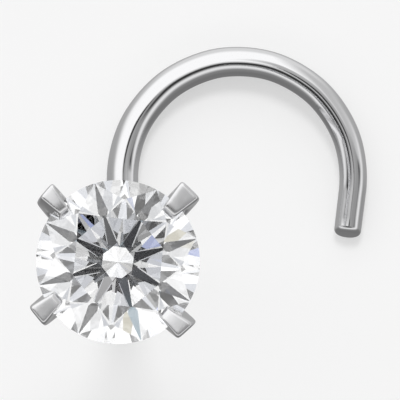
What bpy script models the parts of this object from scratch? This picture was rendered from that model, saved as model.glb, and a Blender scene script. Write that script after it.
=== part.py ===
"""A nose screw stud: one wire with a flat open hook, a straight post, and a round stone in four claws.

It lies as it would by itself: the hook flat on the surface, the post upright and the stone on top.
Seen from above, +X is to the right, +Y is away from the viewer, and the hook opens towards -Y.
"""

from math import atan2, ceil, cos, pi, radians, sin, tan

import bmesh
import bpy
from mathutils import Matrix, Vector

# Wire
WIRE_DIAMETER_AT_POST = 0.00073
WIRE_DIAMETER_AT_TIP = 0.00061
POST_LENGTH = 0.0060  # clear height between the hook's upper side and the back of the head
BEND_RADIUS = 0.00050  # of the tight bend at the foot of the post, at the wire's middle
LEG_LENGTH = 0.00205  # from the post's axis to the start of the hook's arc
HOOK_RADIUS = 0.002615  # of the arc, at the wire's middle
TAIL_LENGTH = 0.0010
TAIL_LEAN = radians(7)  # the tail leans in towards the post
TIP_ROUNDING = 0.00010
WIRE_SIDES = 24  # even
ARC_STEP = radians(5)

# Stone, a round brilliant
STONE_DIAMETER = 0.0035
GIRDLE_THICKNESS = 0.00017
TABLE_DIAMETER = 0.00200  # corner to corner
CROWN_ANGLE = radians(34.4)
PAVILION_ANGLE = radians(41.0)
STAR_REACH = 0.00134  # from the axis to the outer tips of the star facets
LOWER_HALF_REACH = 0.00033  # from the axis to the inner ends of the lower halves
STONE_FOLD = 8
GIRDLE_SIDES = 96
FIRST_KITE = radians(16.7)  # as the setter left it, seen from above

# Head
BASE_DIAMETER = 0.0015
BASE_THICKNESS = 0.00040
BASE_CHAMFER = 0.00008
CULET_CLEARANCE = 0.00010  # between the stone's point and the base
CLAW_WIDTH = 0.00045
CLAW_THICKNESS = 0.00040
CLAW_TIP_REACH = 0.00150  # from the stone's axis to the claws' tips
CLAW_HEIGHT_OVER_GIRDLE = 0.00048
CLAW_UPRIGHT = 0.00055  # height of the upright stretch below the girdle's middle
CLAW_SHOULDER_RADIUS = 0.00024
CLAW_SHOULDER_SWEEP = radians(75)
CLAW_SHOULDER_STEPS = 5
CLAW_EDGE_ROUNDING = 0.00007
# The claws are set by hand, so they are a little uneven.
# (direction, reach from the stone's axis to the outer face)
CLAWS = (
    (radians(44), 0.00213),
    (radians(137), 0.00209),
    (radians(215), 0.00203),
    (radians(315), 0.00204),
)
SEAT_CLEARANCE = 0.00002  # between the stone and the seats cut in the claws

NEAR = 1e-7  # points closer than this are one point

# Heights that follow from the sizes above
hook_top = WIRE_DIAMETER_AT_POST
head_back = hook_top + POST_LENGTH
base_top = head_back + BASE_THICKNESS
stone_radius = STONE_DIAMETER / 2
pavilion_depth = stone_radius * tan(PAVILION_ANGLE)
girdle_middle = base_top + CULET_CLEARANCE + pavilion_depth + GIRDLE_THICKNESS / 2


def new_collection(name):
    collection = bpy.data.collections.new(name)
    bpy.context.scene.collection.children.link(collection)
    return collection


def clear_scene():
    for obj in list(bpy.data.objects):
        bpy.data.objects.remove(obj, do_unlink=True)


def principled(name, colour, metallic, roughness):
    """(material, its Principled shader, which has these values)"""
    material = bpy.data.materials.new(name)
    material.use_nodes = True
    shader = material.node_tree.nodes["Principled BSDF"]
    shader.inputs["Base Color"].default_value = (*colour, 1.0)
    shader.inputs["Metallic"].default_value = metallic
    shader.inputs["Roughness"].default_value = roughness
    return material, shader


def mesh_object(name, bm, collection):
    """An object that holds this bmesh, which is freed."""
    mesh = bpy.data.meshes.new(name)
    bm.to_mesh(mesh)
    bm.free()
    obj = bpy.data.objects.new(name, mesh)
    collection.objects.link(obj)
    return obj


def as_mesh_object(source, collection):
    """The evaluated shape of a curve or a modified object as a plain mesh object, which replaces it."""
    graph = bpy.context.evaluated_depsgraph_get()
    mesh = bpy.data.meshes.new_from_object(source.evaluated_get(graph))
    name = source.name
    placed = source.matrix_world.copy()
    bpy.data.objects.remove(source, do_unlink=True)
    bm = bmesh.new()
    bm.from_mesh(mesh)
    bpy.data.meshes.remove(mesh)
    bmesh.ops.remove_doubles(bm, verts=bm.verts, dist=NEAR)
    bmesh.ops.recalc_face_normals(bm, faces=bm.faces)
    bmesh.ops.transform(bm, matrix=placed, verts=bm.verts)
    return mesh_object(name, bm, collection)


# The wire


def wire_course():
    """(point, wire radius) along the wire, from inside the head, down the post and round the hook to the tip."""
    thick = WIRE_DIAMETER_AT_POST / 2
    thin = WIRE_DIAMETER_AT_TIP / 2
    points = [Vector((0, 0, head_back + BASE_THICKNESS / 2))]
    bend_steps = ceil(pi / 2 / (2 * ARC_STEP))
    for step in range(bend_steps + 1):
        turn = pi / 2 * step / bend_steps
        points.append(
            Vector((0, BEND_RADIUS * (1 - cos(turn)), thick + BEND_RADIUS * (1 - sin(turn))))
        )
    flat_from = len(points) - 1
    sweep = pi + TAIL_LEAN
    arc_steps = ceil(sweep / ARC_STEP)
    for step in range(arc_steps + 1):
        angle = pi - sweep * step / arc_steps
        points.append(
            Vector((HOOK_RADIUS * (1 + cos(angle)), LEG_LENGTH + HOOK_RADIUS * sin(angle), thick))
        )
    along = Vector((-sin(TAIL_LEAN), -cos(TAIL_LEAN), 0))
    tail_start = points[-1]
    points.append(tail_start + along * (TAIL_LENGTH - TIP_ROUNDING))

    # The wire thins evenly along the hook, whose underside stays on the surface
    travelled = [0.0]
    for before, after in zip(points, points[1:]):
        travelled.append(travelled[-1] + (after - before).length)
    flat_start = travelled[flat_from]
    flat_length = travelled[-1] - flat_start
    course = []
    for point, distance in zip(points, travelled):
        share = max(0.0, distance - flat_start) / flat_length
        radius = thick + (thin - thick) * share
        lowered = Vector((point.x, point.y, point.z - (thick - radius)))
        course.append((lowered, radius))

    # The filed end: the edge of the cut is rounded
    end, radius = course[-1]
    for angle in (pi / 6, pi / 3, pi / 2):
        inset = TIP_ROUNDING * (1 - cos(angle))
        course.append((end + along * TIP_ROUNDING * sin(angle), radius - inset))
    return course


def make_wire(collection):
    course = wire_course()
    curve = bpy.data.curves.new("wire", "CURVE")
    curve.dimensions = "3D"
    curve.twist_mode = "MINIMUM"
    curve.bevel_depth = WIRE_DIAMETER_AT_POST / 2
    curve.bevel_resolution = (WIRE_SIDES - 4) // 2
    curve.use_fill_caps = True
    spline = curve.splines.new("POLY")
    spline.points.add(len(course) - 1)
    for slot, (point, radius) in zip(spline.points, course):
        slot.co = (*point, 1.0)
        slot.radius = radius / curve.bevel_depth
    wire = bpy.data.objects.new("wire", curve)
    collection.objects.link(wire)
    return as_mesh_object(wire, collection)


# The stone


def facet_plane(azimuth, first, second):
    """(point, outward normal) of the facet that faces this azimuth and holds two points.

    Each point is (azimuth, radius, height), the outer one first.
    """
    spots = []
    for turn, radius, height in (first, second):
        spots.append(Vector((radius * cos(turn), radius * sin(turn), height)))
    outward = Vector((cos(azimuth), sin(azimuth), 0))
    run = (spots[0] - spots[1]).dot(outward)
    rise = spots[1].z - spots[0].z
    normal = (outward * abs(rise) + Vector((0, 0, run if rise > 0 else -run))).normalized()
    return spots[0], normal


def stone_planes():
    """The planes that cut the stone, about the middle of its girdle."""
    fold = 2 * pi / STONE_FOLD
    upper = GIRDLE_THICKNESS / 2
    crown_slope = tan(CROWN_ANGLE)
    pavilion_slope = tan(PAVILION_ANGLE)
    table_radius = TABLE_DIAMETER / 2
    table_height = upper + (stone_radius - table_radius) * crown_slope
    star_height = upper + (stone_radius - STAR_REACH * cos(fold / 2)) * crown_slope
    lower_depth = upper + (stone_radius - LOWER_HALF_REACH * cos(fold / 2)) * pavilion_slope
    planes = [(Vector((0, 0, table_height)), Vector((0, 0, 1)))]
    for index in range(STONE_FOLD):
        kite = FIRST_KITE + index * fold
        star = kite + fold / 2
        rim_above = (kite, stone_radius, upper)
        rim_below = (kite, stone_radius, -upper)
        planes.append(facet_plane(kite, rim_above, (kite, table_radius, table_height)))
        planes.append(facet_plane(kite, rim_below, (kite, 0.0, -upper - pavilion_depth)))
        planes.append(
            facet_plane(star, (star, STAR_REACH, star_height), (kite, table_radius, table_height))
        )
        for side in (-1, 1):
            half = kite + side * fold / 4
            meeting = kite + side * fold / 2
            planes.append(facet_plane(half, rim_above, (meeting, STAR_REACH, star_height)))
            planes.append(facet_plane(half, rim_below, (meeting, LOWER_HALF_REACH, -lower_depth)))
    return planes


def cut_stone(enlarged_by):
    """A bmesh of the stone about the middle of its girdle, with its radius enlarged by this much."""
    bm = bmesh.new()
    blank = 4 * pavilion_depth
    bmesh.ops.create_cone(
        bm,
        cap_ends=True,
        segments=GIRDLE_SIDES,
        radius1=stone_radius,
        radius2=stone_radius,
        depth=blank,
    )
    for point, normal in stone_planes():
        cut = bmesh.ops.bisect_plane(
            bm,
            geom=[*bm.verts, *bm.edges, *bm.faces],
            dist=NEAR / 10,
            plane_co=point,
            plane_no=normal,
            clear_outer=True,
        )
        rim = [item for item in cut["geom_cut"] if isinstance(item, bmesh.types.BMEdge)]
        if rim:
            bmesh.ops.contextual_create(bm, geom=rim)
    bmesh.ops.remove_doubles(bm, verts=bm.verts, dist=NEAR)
    bmesh.ops.recalc_face_normals(bm, faces=bm.faces)
    size = 1 + enlarged_by / stone_radius
    bmesh.ops.scale(bm, vec=(size, size, size), verts=bm.verts)
    return bm


def make_stone(name, enlarged_by, collection):
    stone = mesh_object(name, cut_stone(enlarged_by), collection)
    stone.location.z = girdle_middle
    return stone


# The head


def make_base(collection):
    """The round base between the post and the claws, a turned profile with a chamfered back edge."""
    radius = BASE_DIAMETER / 2
    profile = (
        (0.0, BASE_THICKNESS),
        (radius, BASE_THICKNESS),
        (radius, BASE_CHAMFER),
        (radius - BASE_CHAMFER, 0.0),
        (0.0, 0.0),
    )
    bm = bmesh.new()
    corners = [bm.verts.new((across, 0, up)) for across, up in profile]
    for first, second in zip(corners, corners[1:]):
        bm.edges.new((first, second))
    base = mesh_object("base", bm, collection)
    screw = base.modifiers.new("turned", "SCREW")
    screw.axis = "Z"
    screw.steps = 2 * WIRE_SIDES
    screw.render_steps = 2 * WIRE_SIDES
    screw.use_merge_vertices = True
    screw.merge_threshold = NEAR
    base.location.z = head_back
    bpy.context.view_layer.update()
    return as_mesh_object(base, collection)


def claw_outline(outside):
    """The claw from the side, as (distance from the stone's axis, height over the girdle's middle)."""
    foot = base_top - girdle_middle - BASE_THICKNESS / 2
    slope = atan2(-CLAW_UPRIGHT - foot, outside - BASE_DIAMETER / 2)
    across = CLAW_THICKNESS / sin(slope)
    outline = [
        (BASE_DIAMETER / 2 - across, foot),
        (BASE_DIAMETER / 2, foot),
        (outside, -CLAW_UPRIGHT),
    ]
    for step in range(CLAW_SHOULDER_STEPS + 1):
        turn = CLAW_SHOULDER_SWEEP * step / CLAW_SHOULDER_STEPS
        outline.append(
            (
                outside - CLAW_SHOULDER_RADIUS * (1 - cos(turn)),
                CLAW_HEIGHT_OVER_GIRDLE - CLAW_SHOULDER_RADIUS * (1 - sin(turn)),
            )
        )
    nose = CLAW_HEIGHT_OVER_GIRDLE - CLAW_EDGE_ROUNDING
    outline += [
        (CLAW_TIP_REACH + CLAW_EDGE_ROUNDING, nose),
        (CLAW_TIP_REACH, nose - 2 * CLAW_EDGE_ROUNDING),
        (CLAW_TIP_REACH, 0.0),
        (outside - CLAW_THICKNESS, -CLAW_UPRIGHT * 0.5),
        (outside - CLAW_THICKNESS, -CLAW_UPRIGHT + CLAW_THICKNESS * tan(slope / 2)),
    ]
    return outline


def make_claw(direction, outside, collection):
    curve = bpy.data.curves.new("claw", "CURVE")
    curve.dimensions = "2D"
    curve.fill_mode = "BOTH"
    curve.extrude = CLAW_WIDTH / 2
    spline = curve.splines.new("POLY")
    outline = claw_outline(outside)
    spline.points.add(len(outline) - 1)
    for slot, (across, up) in zip(spline.points, outline):
        slot.co = (across, up, 0.0, 1.0)
    spline.use_cyclic_u = True
    flat = bpy.data.objects.new("claw", curve)
    collection.objects.link(flat)
    upright = Matrix.Rotation(pi / 2, 4, "X")
    flat.matrix_world = (
        Matrix.Translation((0, 0, girdle_middle)) @ Matrix.Rotation(direction, 4, "Z") @ upright
    )
    bpy.context.view_layer.update()
    claw = as_mesh_object(flat, collection)
    bevel = claw.modifiers.new("edges", "BEVEL")
    bevel.width = CLAW_EDGE_ROUNDING
    bevel.segments = 2
    bevel.limit_method = "ANGLE"
    bevel.angle_limit = radians(50)
    bpy.context.view_layer.update()
    return as_mesh_object(claw, collection)


def join(target, other, operation):
    """Adds a Boolean to target and hides the object that it uses."""
    boolean = target.modifiers.new(f"{operation.lower()} {other.name}", "BOOLEAN")
    boolean.operation = operation
    boolean.object = other
    boolean.solver = "EXACT"
    other.hide_render = True
    other.display_type = "WIRE"


def make_metal(collection, cutters):
    wire = make_wire(cutters)
    metal = make_base(collection)
    for direction, outside in CLAWS:
        join(metal, make_claw(direction, outside, cutters), "UNION")
    join(metal, make_stone("seat_cutter", SEAT_CLEARANCE, cutters), "DIFFERENCE")
    join(metal, wire, "UNION")
    bpy.context.view_layer.update()
    metal = as_mesh_object(metal, collection)
    metal.name = "nose_screw"
    return metal


def shade(obj, material, sharp_angle):
    obj.data.materials.clear()
    obj.data.materials.append(material)
    obj.data.shade_smooth()
    obj.data.set_sharp_from_angle(angle=sharp_angle)


def stand_on_origin(pieces, frame):
    """Parents the pieces to an empty placed so that the middle of their footprint is the origin."""
    bpy.context.view_layer.update()
    corners = [piece.matrix_world @ vertex.co for piece in pieces for vertex in piece.data.vertices]
    middle = []
    for axis in (0, 1):
        along = [corner[axis] for corner in corners]
        middle.append((min(along) + max(along)) / 2)
    lowest = min(corner.z for corner in corners)
    for piece in pieces:
        piece.parent = frame
    frame.location = (-middle[0], -middle[1], -lowest)


def main():
    clear_scene()
    parts = new_collection("nose_screw_stud")
    cutters = new_collection("cutters")
    metal = make_metal(parts, cutters)
    stone = make_stone("stone", 0.0, parts)
    polished, _ = principled("polished white metal", (0.82, 0.82, 0.84), 1.0, 0.12)
    clear, shader = principled("clear stone", (0.97, 0.98, 1.0), 0.0, 0.0)
    shader.inputs["Transmission Weight"].default_value = 1.0
    shader.inputs["IOR"].default_value = 2.42
    shade(metal, polished, radians(40))
    shade(stone, clear, radians(1))
    frame = bpy.data.objects.new("hook_on_surface", None)
    parts.objects.link(frame)
    stand_on_origin((metal, stone), frame)


main()
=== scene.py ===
from math import atan2, comb, cos, pi, radians, sin, tan

import bmesh
import bpy
from mathutils import Matrix, Vector


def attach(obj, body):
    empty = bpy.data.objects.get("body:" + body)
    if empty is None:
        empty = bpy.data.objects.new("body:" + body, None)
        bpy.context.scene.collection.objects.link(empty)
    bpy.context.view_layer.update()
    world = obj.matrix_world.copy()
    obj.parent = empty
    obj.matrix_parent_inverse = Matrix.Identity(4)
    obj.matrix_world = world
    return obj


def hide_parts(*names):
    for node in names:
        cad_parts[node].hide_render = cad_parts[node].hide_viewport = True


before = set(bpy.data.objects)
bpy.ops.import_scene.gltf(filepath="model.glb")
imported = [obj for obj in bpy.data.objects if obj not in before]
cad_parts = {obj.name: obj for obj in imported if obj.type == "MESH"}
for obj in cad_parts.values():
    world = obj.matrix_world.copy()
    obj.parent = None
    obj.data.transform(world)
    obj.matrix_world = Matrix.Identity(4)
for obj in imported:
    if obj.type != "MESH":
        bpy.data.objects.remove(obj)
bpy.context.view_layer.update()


# The wire: post, tight bend, leg, open hook and short tail
# White gold wire, drawn to 22 gauge at the middle of the hook and thinner towards the tip. One length, bent
# cold round formers, soldered into the head and polished; its cut end is filed round.

mm = 0.001
wire_at_post = 0.73 * mm
wire_at_tip = 0.61 * mm
bend_radius = 0.50 * mm
leg_length = 2.05 * mm
hook_radius = 2.615 * mm
tail_length = 1.0 * mm
tail_lean = radians(7)
cut_lean = radians(15)
last_stretch = 0.12 * mm
tip_rounding = 0.11 * mm
tip_rounding_steps = 6
wire_sides = 64
bend_steps = 24
leg_steps = 12
hook_steps = 150
tail_steps = 3
# Bent in short bites of the pliers, with its far side a little off the surface. bite_depth is how much
# tighter the wire is bent in a bite, as a share, and mean_bite is a bite's mean over the whole hook.
bites = 7
bite_depth = 0.4
bite_sharpness = 4
mean_bite = comb(2 * bite_sharpness, bite_sharpness) / 4**bite_sharpness
leg_lift = 0.05 * mm
hook_lift = 0.20 * mm
lift_from = 2.6 * mm
lift_peak = 7.0 * mm
lift_to = 12.2 * mm

# The post stands where the stone's axis is
post_x = -1.8796 * mm
post_y = -1.62427 * mm
base_thickness = 0.40 * mm
head_back = 6.73 * mm


def new_piece(name, bm, smooth_below=radians(35)):
    """A mesh object from this bmesh, shaded smooth except at edges sharper than the angle."""
    mesh = bpy.data.meshes.new(name)
    bm.to_mesh(mesh)
    bm.free()
    mesh.shade_smooth()
    mesh.set_sharp_from_angle(angle=smooth_below)
    piece = bpy.data.objects.new(name, mesh)
    bpy.context.scene.collection.objects.link(piece)
    return piece


def pull(bm, ring, move, radius=None, lift=0.0):
    """Extrudes the tube's open end by this matrix; a radius sizes the new ring and lays it this high."""
    grown = bmesh.ops.extrude_edge_only(bm, edges=ring)["geom"]
    fresh = [item for item in grown if isinstance(item, bmesh.types.BMVert)]
    edges = [item for item in grown if isinstance(item, bmesh.types.BMEdge)]
    ring = [edge for edge in edges if set(edge.verts) <= set(fresh)]
    bmesh.ops.transform(bm, matrix=move, verts=fresh)
    if radius:
        middle = sum((vert.co for vert in fresh), Vector()) / len(fresh)
        size = radius / (fresh[0].co - middle).length
        bmesh.ops.scale(bm, vec=(size, size, size), space=Matrix.Translation(-middle), verts=fresh)
        bmesh.ops.translate(bm, vec=(0, 0, radius + lift - middle.z), verts=fresh)
    return ring


def turn_about(centre, angle, axis):
    """The matrix that turns by this angle about an axis through the centre."""
    return Matrix.Translation(centre) @ Matrix.Rotation(angle, 4, axis) @ Matrix.Translation(-centre)


thick = wire_at_post / 2
thin = wire_at_tip / 2
flat_length = leg_length - bend_radius + hook_radius * (pi + tail_lean) + tail_length

bm = bmesh.new()
start = Matrix.Translation((post_x, post_y, head_back + base_thickness / 2))
bmesh.ops.create_circle(bm, segments=wire_sides, radius=thick, matrix=start)
ring = list(bm.edges)
bmesh.ops.contextual_create(bm, geom=ring)
bend_centre = Vector((post_x, post_y + bend_radius, thick + bend_radius + leg_lift))
ring = pull(bm, ring, Matrix.Translation((0, 0, bend_centre.z - head_back - base_thickness / 2)))
for step in range(bend_steps):
    ring = pull(bm, ring, turn_about(bend_centre, pi / 2 / bend_steps, "X"))


def wire_radius(distance):
    """The wire's radius this far along from the bend."""
    return thick + (thin - thick) * distance / flat_length


def wire_lift(distance):
    """How far the wire's underside is off the surface: a slope at the leg, a smooth hump at the hook."""
    if distance < lift_from:
        return leg_lift * (1 + cos(pi * distance / lift_from)) / 2
    if distance < lift_peak:
        share = (distance - lift_from) / (lift_peak - lift_from)
    else:
        share = (lift_to - distance) / (lift_to - lift_peak)
    return hook_lift * (1 - cos(pi * max(0.0, share))) / 2


def lay_on(ring, move, distance):
    """Pulls the wire's open end on by this matrix and lays it down, this far along from the bend."""
    return pull(bm, ring, move, wire_radius(distance), wire_lift(distance))


travelled = 0.0
stride = (leg_length - bend_radius) / leg_steps
for step in range(leg_steps):
    travelled += stride
    ring = lay_on(ring, Matrix.Translation((0, stride, 0)), travelled)
spot = Vector((post_x, post_y + leg_length, 0))
heading = pi / 2
stride = hook_radius * (pi + tail_lean) / hook_steps
for step in range(hook_steps):
    bite = ((1 + cos(2 * pi * bites * (step + 0.5) / hook_steps)) / 2) ** bite_sharpness
    swing = stride / hook_radius * (1 + bite_depth * (bite - mean_bite))
    travelled += stride
    way = Vector((cos(heading - swing / 2), sin(heading - swing / 2), 0)) * stride
    ring = lay_on(ring, Matrix.Translation(way) @ turn_about(spot, -swing, "Z"), travelled)
    heading -= swing
    spot += way
tail_way = Vector((-sin(tail_lean), -cos(tail_lean), 0))
stride = (tail_length - last_stretch) / tail_steps
for step in range(tail_steps):
    travelled += stride
    ring = lay_on(ring, Matrix.Translation(tail_way * stride), travelled)
# The cutter left the end a little aslant
for vert in {vert for edge in ring for vert in edge.verts}:
    vert.co -= tail_way * (vert.co.z - thin - wire_lift(travelled)) * tan(cut_lean)
ring = pull(bm, ring, Matrix.Translation(tail_way * last_stretch))
bmesh.ops.contextual_create(bm, geom=ring)
bmesh.ops.bevel(
    bm,
    geom=ring,
    offset=tip_rounding,
    segments=tip_rounding_steps,
    profile=0.5,
    affect="EDGES",
    material=-1,
)
bmesh.ops.recalc_face_normals(bm, faces=bm.faces)
wire = new_piece("post_and_hook", bm)


def set_inputs(node, **values):
    """Sets a node's sockets by name, with underscores for the spaces."""
    for name, value in values.items():
        node.inputs[name.replace("_", " ")].default_value = value


def new_material(name):
    """(material, its nodes, its links, its Principled shader)"""
    material = bpy.data.materials.new(name)
    material.use_nodes = True
    nodes = material.node_tree.nodes
    return material, nodes, material.node_tree.links, nodes["Principled BSDF"]


# Polish marks: the fine uneven grain that a wheel, a file or grinding leaves, as a group for every finish
marks = bpy.data.node_groups.new("polish marks", "ShaderNodeTree")
marks.interface.new_socket(name="Vector", in_out="INPUT", socket_type="NodeSocketVector")
for socket in ("Scale", "Smooth", "Rough"):
    marks.interface.new_socket(name=socket, in_out="INPUT", socket_type="NodeSocketFloat")
for socket in ("Roughness", "Height"):
    marks.interface.new_socket(name=socket, in_out="OUTPUT", socket_type="NodeSocketFloat")
given = marks.nodes.new("NodeGroupInput")
handed = marks.nodes.new("NodeGroupOutput")
grain = marks.nodes.new("ShaderNodeTexNoise")
set_inputs(grain, Detail=4.0, Roughness=0.6)
spread = marks.nodes.new("ShaderNodeMapRange")
marks.links.new(given.outputs["Vector"], grain.inputs["Vector"])
marks.links.new(given.outputs["Scale"], grain.inputs["Scale"])
marks.links.new(grain.outputs["Fac"], spread.inputs["Value"])
marks.links.new(given.outputs["Smooth"], spread.inputs["To Min"])
marks.links.new(given.outputs["Rough"], spread.inputs["To Max"])
marks.links.new(spread.outputs["Result"], handed.inputs["Roughness"])
marks.links.new(grain.outputs["Fac"], handed.inputs["Height"])


def white_gold(name, scale, strength):
    """White gold with marks of this scale and strength: (material, nodes, links, coordinates, marks)"""
    material, nodes, links, shader = new_material(name)
    set_inputs(shader, Base_Color=(0.86, 0.86, 0.87, 1.0), Metallic=1.0)
    place = nodes.new("ShaderNodeTexCoord")
    polish = nodes.new("ShaderNodeGroup")
    polish.node_tree = marks
    set_inputs(polish, Scale=scale)
    relief = nodes.new("ShaderNodeBump")
    set_inputs(relief, Strength=strength, Distance=0.02 * mm)
    links.new(place.outputs["Object"], polish.inputs["Vector"])
    links.new(polish.outputs["Roughness"], shader.inputs["Roughness"])
    links.new(polish.outputs["Height"], relief.inputs["Height"])
    links.new(relief.outputs["Normal"], shader.inputs["Normal"])
    return material, nodes, links, place, polish


wire_finish, nodes, links, place, polish = white_gold("polished white gold wire", 2500.0, 0.05)
set_inputs(polish, Smooth=0.03, Rough=0.10)
wire.data.materials.append(wire_finish)
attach(wire, "root")
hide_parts("nose_screw")


# The base of the head
# A small round disc of the same metal. Turned, then soldered on the end of the post with a little
# fillet of solder, and the claws are soldered into it.

base_radius = 0.75 * mm
base_chamfer = 0.08 * mm
solder_fillet = 0.07 * mm
fillet_steps = 4
fillet_overlap = 0.1 * thick
base_turns = 64
weld_distance = 0.0001 * mm

bm = bmesh.new()
profile = [(0.0, base_thickness), (base_radius, base_thickness), (base_radius, base_chamfer)]
profile += [(base_radius - base_chamfer, 0.0)]
for step in range(fillet_steps + 1):
    sweep = pi / 2 * step / fillet_steps
    profile.append((thick + solder_fillet * (1 - sin(sweep)), -solder_fillet * (1 - cos(sweep))))
profile.append((thick - fillet_overlap, -solder_fillet))
corners = [bm.verts.new((post_x + across, post_y, head_back + up)) for across, up in profile]
outline = [bm.edges.new(pair) for pair in zip(corners, corners[1:])]
bmesh.ops.spin(
    bm,
    geom=corners + outline,
    cent=(post_x, post_y, 0),
    axis=(0, 0, 1),
    angle=2 * pi,
    steps=base_turns,
    use_merge=True,
)
bmesh.ops.remove_doubles(bm, verts=bm.verts, dist=weld_distance)
rim = [edge for edge in bm.edges if edge.is_boundary]
bmesh.ops.holes_fill(bm, edges=rim)
bmesh.ops.recalc_face_normals(bm, faces=bm.faces)
base = new_piece("head_base", bm)
base.data.materials.append(wire_finish)
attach(base, "root")
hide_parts("nose_screw")


# The stone
# A round brilliant of diamond, 3.5 mm across. Every flat is ground and polished on a lap, so its form is
# cut here plane by plane from a round blank. The girdle is left frosted from rounding.

girdle_middle = 8.8363 * mm
stone_radius = 1.745 * mm
facet_radius = 1.738 * mm
girdle_thickness = 0.178 * mm
girdle_sides = 180
table_reach = 0.996 * mm
crown_angle = radians(34.37)
pavilion_angle = radians(41.03)
star_reach = 1.335 * mm
lower_half_reach = 0.3255 * mm
first_kite = radians(16.74)
pavilion_turn = radians(-0.42)
stone_tilt = (radians(0.73), radians(1.05))
stone_shift = (0.010 * mm, -0.015 * mm)
fold = pi / 4
cut_snap = 0.00001 * mm
corner_weld = 0.00005 * mm
girdle_steepness = 0.1
girdle_smoothing = radians(2.5)
diamond_ior = 2.417
clear_white = (1.0, 1.0, 1.0, 1.0)


def facet_plane(azimuth, first, second):
    """(point, outward normal) of the facet that faces this azimuth and holds two points.

    Each point is (azimuth, radius, height), the outer one first.
    """
    points = (first, second)
    outer, inner = [Vector((reach * cos(turn), reach * sin(turn), up)) for turn, reach, up in points]
    outward = Vector((cos(azimuth), sin(azimuth), 0))
    run = (outer - inner).dot(outward)
    rise = inner.z - outer.z
    return outer, (outward * abs(rise) + Vector((0, 0, run if rise > 0 else -run))).normalized()


def stone_planes():
    """The planes that cut the stone, about the middle of its girdle."""
    rim = girdle_thickness / 2
    table_up = rim + (facet_radius - table_reach) * tan(crown_angle)
    star_up = rim + (facet_radius - star_reach * cos(fold / 2)) * tan(crown_angle)
    culet = -rim - facet_radius * tan(pavilion_angle)
    half_down = -rim - (facet_radius - lower_half_reach * cos(fold / 2)) * tan(pavilion_angle)
    planes = [(Vector((0, 0, table_up)), Vector((0, 0, 1)))]
    for index in range(8):
        kite = first_kite + index * fold
        star = kite + fold / 2
        corner = (kite, facet_radius, rim)
        planes.append(facet_plane(kite, corner, (kite, table_reach, table_up)))
        planes.append(facet_plane(star, (star, star_reach, star_up), (kite, table_reach, table_up)))
        for side in (-1, 1):
            inner = (kite + side * fold / 2, star_reach, star_up)
            planes.append(facet_plane(kite + side * fold / 4, corner, inner))
        main = kite + pavilion_turn
        corner = (main, facet_radius, -rim)
        planes.append(facet_plane(main, corner, (main, 0.0, culet)))
        for side in (-1, 1):
            inner = (main + side * fold / 2, lower_half_reach, half_down)
            planes.append(facet_plane(main + side * fold / 4, corner, inner))
    return planes


def cut_stone(enlarged_by=0.0):
    """The stone in its place, with all its flats this much further out."""
    bm = bmesh.new()
    bmesh.ops.create_cone(
        bm,
        cap_ends=True,
        segments=girdle_sides,
        radius1=stone_radius + enlarged_by,
        radius2=stone_radius + enlarged_by,
        depth=4 * stone_radius,
    )
    for point, normal in stone_planes():
        cut = bmesh.ops.bisect_plane(
            bm,
            geom=[*bm.verts, *bm.edges, *bm.faces],
            dist=cut_snap,
            plane_co=point + normal * enlarged_by,
            plane_no=normal,
            clear_outer=True,
        )
        rim = [item for item in cut["geom_cut"] if isinstance(item, bmesh.types.BMEdge)]
        if rim:
            bmesh.ops.contextual_create(bm, geom=rim)
    bmesh.ops.remove_doubles(bm, verts=bm.verts, dist=corner_weld)
    bmesh.ops.recalc_face_normals(bm, faces=bm.faces)
    tilt = Matrix.Rotation(stone_tilt[1], 4, "Y") @ Matrix.Rotation(stone_tilt[0], 4, "X")
    place = Matrix.Translation(stone_middle + Vector((*stone_shift, 0)))
    bmesh.ops.transform(bm, matrix=place @ tilt, verts=bm.verts)
    return bm


stone_middle = Vector((post_x, post_y, girdle_middle))
bm = cut_stone()
for face in bm.faces:
    face.material_index = 1 if abs(face.normal.z) < girdle_steepness else 0
stone = new_piece("brilliant", bm, smooth_below=girdle_smoothing)

stone_look, nodes, links, shader = new_material("clear brilliant")
set_inputs(
    shader,
    Base_Color=clear_white,
    Metallic=0.0,
    Roughness=0.0,
    IOR=diamond_ior,
    Transmission_Weight=1.0,
)
girdle_look, nodes, links, shader = new_material("frosted girdle")
set_inputs(
    shader,
    Base_Color=clear_white,
    Metallic=0.0,
    IOR=diamond_ior,
    Transmission_Weight=1.0,
)
place = nodes.new("ShaderNodeTexCoord")
grit = nodes.new("ShaderNodeGroup")
grit.node_tree = marks
set_inputs(grit, Scale=30000.0, Smooth=0.25, Rough=0.45)
links.new(place.outputs["Object"], grit.inputs["Vector"])
links.new(grit.outputs["Roughness"], shader.inputs["Roughness"])
stone.data.materials.append(stone_look)
stone.data.materials.append(girdle_look)
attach(stone, "root")
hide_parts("stone")


# The claws
# Four prongs of the same metal, soldered into the base and bent up round the stone. Each is notched for
# the girdle and pressed over the crown by hand. The top is filed nearly flat and left satin; the edges
# and the nose are burnished round and bright.

claw_thickness = 0.40 * mm
claw_height = 0.47 * mm
claw_nose_height = 0.27 * mm
claw_nose_length = 0.10 * mm
claw_upright = 0.55 * mm
claw_underside = 0.02 * mm
underside_rise = 0.01 * mm
claw_flat_end = 0.24 * mm
claw_turn = 0.08 * mm
claw_turn_drop = 0.05 * mm
claw_skin_levels = 4
claw_edge_crease = 0.42
claw_nose_crease = 0.30
seat_clearance = 0.004 * mm
# Direction and reach of the outer face, the way it looks and its width; direction, reach and width of the
# nose; how much is filed off the left and right edge of the top, and how much lower the file left the
# nose's end than the outer one. Degrees and millimetres.
claws = (
    (44.0, 2.19, 46.0, 0.57, 43.0, 1.42, 0.35, 0.00, 0.02, -0.04),
    (137.0, 2.14, 139.0, 0.57, 140.0, 1.46, 0.35, 0.14, 0.00, -0.04),
    (214.5, 2.09, 219.0, 0.57, 211.0, 1.41, 0.34, 0.03, 0.03, 0.02),
    (315.5, 2.10, 312.0, 0.57, 313.5, 1.40, 0.35, 0.10, 0.00, 0.02),
)


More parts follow.
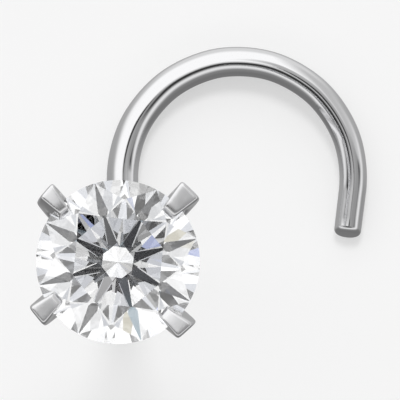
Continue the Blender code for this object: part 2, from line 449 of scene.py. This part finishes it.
def claw_blank(outside, nose, width, nose_width, left_cut, right_cut, drop, skew):
    """A claw lying along +X from the stone's axis, as a cage for a rounded skin."""
    foot = head_back + base_thickness / 2 - girdle_middle
    slope = atan2(-claw_upright - foot, outside - base_radius)
    foot_thickness = claw_thickness / sin(slope)
    inside = outside - claw_thickness
    outer_top = claw_height + min(0.0, drop)
    inner_top = claw_height - max(0.0, drop)
    # (outer or upper point, inner or lower point) of the side view, from the foot to the nose
    stations = (
        ((base_radius, foot), (base_radius - foot_thickness, foot)),
        ((outside, -claw_upright), (inside, claw_thickness * tan(slope / 2) - claw_upright)),
        ((outside, 0.0), (inside, -0.25 * claw_upright)),
        ((outside, outer_top), (inside, claw_underside)),
        ((nose + claw_flat_end, inner_top), (nose + claw_flat_end, claw_underside + underside_rise)),
        (
            (nose + claw_turn, inner_top - claw_turn_drop),
            (nose + claw_nose_length, claw_underside + 2 * underside_rise),
        ),
        ((nose, claw_nose_height), (nose, claw_underside + 3 * underside_rise)),
    )
    bm = bmesh.new()
    crease = bm.edges.layers.float.new("crease_edge")
    rows = [[bm.verts.new((across, 0, up)) for across, up in station] for station in stations]
    flank = [bm.faces.new((*near, *reversed(far))) for near, far in zip(rows, rows[1:])]
    grown = bmesh.ops.extrude_face_region(bm, geom=flank)["geom"]
    left = [vert for row in rows for vert in row]
    right = [item for item in grown if isinstance(item, bmesh.types.BMVert)]
    bmesh.ops.translate(bm, vec=(0, width / 2, 0), verts=left)
    bmesh.ops.translate(bm, vec=(0, -width / 2, 0), verts=right)
    # Above the girdle it narrows towards the nose
    for vert in bm.verts:
        if vert.co.z > -0.5 * claw_upright:
            share = (vert.co.x - nose - claw_nose_length) / (outside - nose - claw_nose_length)
            vert.co.y *= (nose_width + (width - nose_width) * min(1.0, max(0.0, share))) / width
    for side, cut in ((left, left_cut), (right, right_cut)):
        top = [vert for vert in side if vert.co.z > claw_nose_height + 0.1 * mm]
        bmesh.ops.translate(bm, vec=(0, -cut if side is left else cut, 0), verts=top)
    # The outer face is filed at a slant to the claw's length
    for vert in bm.verts:
        if vert.co.x > outside - 0.001 * mm:
            vert.co.x -= vert.co.y * tan(skew)
    bmesh.ops.recalc_face_normals(bm, faces=bm.faces)
    for edge in bm.edges:
        at_nose = all(vert.co.x < nose + 0.01 * mm and vert.co.z > 0 for vert in edge.verts)
        along = edge.calc_face_angle(0) > radians(60)
        edge[crease] = claw_nose_crease if at_nose else claw_edge_crease if along else 0.0
    return bm


def claw_place(direction, outside, nose_direction, nose):
    """(matrix that carries the blank to its place, length of its top, the way it lies)"""
    face_at = Vector((outside * cos(direction), outside * sin(direction), 0))
    nose_at = Vector((nose * cos(nose_direction), nose * sin(nose_direction), 0))
    run = face_at - nose_at
    way = atan2(run.y, run.x)
    place = (
        Matrix.Translation(stone_middle + face_at)
        @ Matrix.Rotation(way, 4, "Z")
        @ Matrix.Translation((-outside, 0, 0))
    )
    return place, run.length, way


# Satin where the file left the top flat, burnished where the claw turns down
claw_finish, nodes, links, place, polish = white_gold("filed and burnished white gold", 6000.0, 0.12)
facing_up = nodes.new("ShaderNodeSeparateXYZ")
links.new(place.outputs["Normal"], facing_up.inputs["Vector"])
for socket, burnished, filed in (("Smooth", 0.05, 0.24), ("Rough", 0.12, 0.38)):
    satin = nodes.new("ShaderNodeMapRange")
    set_inputs(satin, From_Min=0.90, From_Max=0.985, To_Min=burnished, To_Max=filed)
    links.new(facing_up.outputs["Z"], satin.inputs["Value"])
    links.new(satin.outputs["Result"], polish.inputs[socket])

# Each seat is cut with the stone's own form, a hair larger
seat_cutter = new_piece("seat_cutter", cut_stone(seat_clearance))

for number, claw_sizes in enumerate(claws, start=1):
    direction, outside, facing, width, nose_direction, nose, nose_width, *filing = claw_sizes
    left_cut, right_cut, drop = filing
    place, top_length, way = claw_place(
        radians(direction), outside * mm, radians(nose_direction), nose * mm
    )
    bm = claw_blank(
        outside * mm,
        outside * mm - top_length,
        width * mm,
        nose_width * mm,
        left_cut * mm,
        right_cut * mm,
        drop * mm,
        (radians(facing) - way + pi) % (2 * pi) - pi,
    )
    bmesh.ops.transform(bm, matrix=place, verts=bm.verts)
    rough = new_piece(f"rough_claw_{number}", bm)
    skin = rough.modifiers.new("rounded skin", "SUBSURF")
    skin.levels = claw_skin_levels
    skin.render_levels = claw_skin_levels
    notch = rough.modifiers.new("notch", "BOOLEAN")
    notch.operation = "DIFFERENCE"
    notch.solver = "EXACT"
    notch.object = seat_cutter
    bpy.context.view_layer.update()
    cut = bpy.data.meshes.new_from_object(rough.evaluated_get(bpy.context.evaluated_depsgraph_get()))
    bm = bmesh.new()
    bm.from_mesh(cut)
    bpy.data.meshes.remove(cut)
    bpy.data.objects.remove(rough)
    claw = new_piece(f"claw_{number}", bm)
    claw.data.materials.clear()
    claw.data.materials.append(claw_finish)
    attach(claw, "root")
    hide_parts("nose_screw")
bpy.data.objects.remove(seat_cutter)


# The studio: white paper, the camera, a soft lamp and the light dome
# The stud lies on white paper and the camera looks almost straight down on it from 140 mm. Polished metal
# and a cut stone show little but their surroundings, so the dome holds a screen, cards and the dark camera.

floor_size = 2.0
bm = bmesh.new()
bmesh.ops.create_grid(bm, x_segments=1, y_segments=1, size=floor_size / 2)
floor = new_piece("floor", bm)
floor_look, nodes, links, shader = new_material("white paper")
set_inputs(
    shader,
    Base_Color=(0.5, 0.5, 0.5, 1.0),
    Roughness=1.0,
    Specular_IOR_Level=0.0,
    Emission_Color=(1.0, 1.0, 1.0, 1.0),
    Emission_Strength=0.46,
)
floor.data.materials.append(floor_look)
# Metal and stone don't see the paper; the dome below stands in for it
floor.visible_glossy = False
floor.visible_transmission = False

photo_width = 400
camera_distance = 140 * mm
camera_tilt = radians(1.5)
pixels_per_mm = 44.08  # in the hook's plane
aim = Vector((post_x + 1.758 * mm, post_y + 1.528 * mm, 0.35 * mm))
camera_data = bpy.data.cameras.new("camera")
camera = bpy.data.objects.new("camera", camera_data)
bpy.context.scene.collection.objects.link(camera)
camera_data.sensor_width = 36.0
camera_data.lens = pixels_per_mm * camera_distance / mm * camera_data.sensor_width / photo_width
camera_data.clip_start = 0.01
camera_data.clip_end = 10.0
camera.location = aim + Vector((0, -sin(camera_tilt), cos(camera_tilt))) * camera_distance
camera.rotation_euler = (camera_tilt, 0, 0)
bpy.context.scene.camera = camera

# A soft lamp behind the stud lays the wire's shadow on the paper inside the hook
lamp_data = bpy.data.lights.new("soft lamp", "SUN")
lamp_data.energy = 1.0
lamp_data.angle = radians(16)
lamp = bpy.data.objects.new("soft lamp", lamp_data)
bpy.context.scene.collection.objects.link(lamp)
lamp.rotation_euler = (radians(-31), 0, 0)
lamp.visible_glossy = False
lamp.visible_transmission = False

world = bpy.data.worlds.new("light dome")
bpy.context.scene.world = world
world.use_nodes = True
nodes = world.node_tree.nodes
links = world.node_tree.links
background = nodes["Background"]
ray = nodes.new("ShaderNodeTexCoord")


def angle_from(direction):
    """A node whose value is the angle, in half turns, between where a ray goes and this direction."""
    near = nodes.new("ShaderNodeVectorMath")
    near.operation = "DOT_PRODUCT"
    near.inputs[1].default_value = Vector(direction).normalized()
    links.new(ray.outputs["Generated"], near.inputs[0])
    turn = nodes.new("ShaderNodeMath")
    turn.operation = "ARCCOSINE"
    links.new(near.outputs["Value"], turn.inputs[0])
    share = nodes.new("ShaderNodeMath")
    share.operation = "DIVIDE"
    share.inputs[1].default_value = pi
    links.new(turn.outputs["Value"], share.inputs[0])
    return share.outputs["Value"]


def shade(light):
    """A colour with its alpha, from a brightness or a colour."""
    return (*light, 1.0) if isinstance(light, tuple) else (light, light, light, 1.0)


def ramp_over(value, stops):
    """A colour ramp over such an angle, with stops given as (degrees, brightness or colour)."""
    ramp = nodes.new("ShaderNodeValToRGB")
    links.new(value, ramp.inputs["Fac"])
    steps = ramp.color_ramp.elements
    while len(steps) < len(stops):
        steps.new(0.5)
    for step, (angle, light) in zip(steps, stops):
        step.position = angle / 180
        step.color = shade(light)
    return ramp.outputs["Color"]


def blend(kind, first, second, share=1.0):
    """The socket of a mix of two colours, each a socket or a plain value."""
    mixed = nodes.new("ShaderNodeMix")
    mixed.data_type = "RGBA"
    mixed.blend_type = kind
    for socket, given in (("Factor", share), ("A", first), ("B", second)):
        if isinstance(given, bpy.types.NodeSocket):
            links.new(given, mixed.inputs[socket])
        else:
            mixed.inputs[socket].default_value = given
    return mixed.outputs["Result"]


def towards(azimuth, off_zenith):
    """The direction with this azimuth and this angle from straight up, in degrees."""
    turn = radians(azimuth)
    lean = radians(off_zenith)
    return Vector((sin(lean) * cos(turn), sin(lean) * sin(turn), cos(lean)))


# A big white screen stands behind the stud and reaches over it, greyer at its two sides
left_side = ramp_over(
    angle_from((-1, 0, 0)),
    ((0, 0.36), (14, 0.4), (21, 0.46), (27, 0.64), (32, 0.78), (40, 0.94), (50, 1.0), (180, 1.0)),
)
right_side = ramp_over(
    angle_from((1, 0, 0)),
    ((0, 1.0), (14, 0.85), (30, 0.64), (46, 0.56), (58, 0.58), (67, 0.85), (76, 1.1), (180, 1.1)),
)
screen = blend("MULTIPLY", left_side, right_side)
# On the near side come the dark camera and its stand, then a ring of light on the wall, then the dim room
near_side = ramp_over(
    angle_from(towards(90, 40)),
    (
        (0, 0.85), (42, 0.85), (48, 0.45), (52, 0.05), (61, 0.02), (67, 0.2),
        (73, 0.58), (79, 0.86), (89, 0.85), (97, 0.5), (107, 0.24), (180, 0.2),
    ),
)
screen_edge = ramp_over(angle_from((0, 1, 0)), ((86.5, 0.0), (91.5, 1.0)))
above = blend("MIX", screen, near_side, screen_edge)
# The arm that carries the camera comes in from the right
for azimuth, off_zenith in ((0, 14), (-12, 34), (50, 17)):
    arm = ramp_over(angle_from(towards(azimuth, off_zenith)), ((9, 0.85), (17, 0.0)))
    above = blend("MIX", above, shade(0.38), arm)
# Its lens is the darkest spot, close to straight up
lens = ramp_over(angle_from(towards(0, 5.5)), ((5, 0.95), (8, 0.0)))
above = blend("MIX", above, shade(0.04), lens)
# What polished metal shows of the table top: bright towards the screen, dim on the side of the room
below = ramp_over(
    angle_from((0, 1, 0)),
    ((0, 0.78), (35, 0.76), (60, 0.45), (90, 0.38), (115, 0.2), (180, 0.18)),
)
horizon = ramp_over(angle_from((0, 0, 1)), ((0, 0.0), (76, 0.0), (98, 1.0), (180, 1.0)))
dome = blend("MIX", above, below, horizon)

# What the stone gathers: a light tent with the dark camera at its top and small cards and lamps round it
tent = ramp_over(
    angle_from((0, 0, 1)),
    (
        (0, 0.0), (8, 0.004), (16, (0.016, 0.017, 0.02)), (20, (0.5, 0.52, 0.56)), (24, 1.0),
        (29, (0.62, 0.64, 0.68)), (36, (0.77, 0.79, 0.84)), (44, 1.55), (54, 1.2), (68, 0.95), (90, 0.8),
        (104, (0.3, 0.31, 0.33)), (140, 0.3), (180, 0.4),
    ),
)
# (azimuth, angle from the zenith, half width, brightness or colour), in degrees
cards = (
    (249, 41, 24, 1.25),
    (70, 35, 4.5, 0.35),
    (129, 45, 7, 0.0),
    (20, 25, 5, 0.0),
    (27, 18, 5, 0.0),
    (120, 14, 3.5, 0.85),
    (40, 46, 3.5, 0.5),
    (150, 8, 3.5, 0.0),
    (220, 20, 6, 0.85),
    (292, 88, 11, 2.2),
    (147, 38, 5, 0.95),
    (6, 37, 5, (0.5, 0.56, 0.85)),
    (246, 36, 3.5, 0.65),
    (15, 42, 2.5, 0.75),
    (151, 41, 2.5, 0.75),
    (-70, 13, 3, (0.3, 0.4, 0.46)),
    (-28, 25, 3, (0.7, 0.67, 0.56)),
)
for azimuth, off_zenith, width, light in cards:
    card = ramp_over(angle_from(towards(azimuth, off_zenith)), ((0.8 * width, 1.0), (1.2 * width, 0.0)))
    tent = blend("MIX", tent, shade(light), card)

# Rays out of the stone end in the tent, mirrored rays in the dome, and the camera sees a plain backdrop
seen = nodes.new("ShaderNodeLightPath")
plain = nodes.new("ShaderNodeBackground")
set_inputs(plain, Color=(0.92, 0.92, 0.92, 1.0), Strength=1.0)
pick = nodes.new("ShaderNodeMixShader")
of_the_stone = nodes.new("ShaderNodeMath")
of_the_stone.operation = "MAXIMUM"
links.new(seen.outputs["Is Transmission Ray"], of_the_stone.inputs[0])
links.new(seen.outputs["Is Singular Ray"], of_the_stone.inputs[1])
links.new(blend("MIX", dome, tent, of_the_stone.outputs["Value"]), background.inputs["Color"])
set_inputs(background, Strength=1.0)
links.new(seen.outputs["Is Camera Ray"], pick.inputs["Fac"])
links.new(background.outputs["Background"], pick.inputs[1])
links.new(plain.outputs["Background"], pick.inputs[2])
links.new(pick.outputs["Shader"], nodes["World Output"].inputs["Surface"])

scene = bpy.context.scene
scene.view_settings.view_transform = "Standard"
# Light is thrown about many times inside the stone before it comes out
scene.cycles.max_bounces = 24
scene.cycles.transmission_bounces = 24
scene.cycles.glossy_bounces = 8
scene.cycles.use_denoising = True
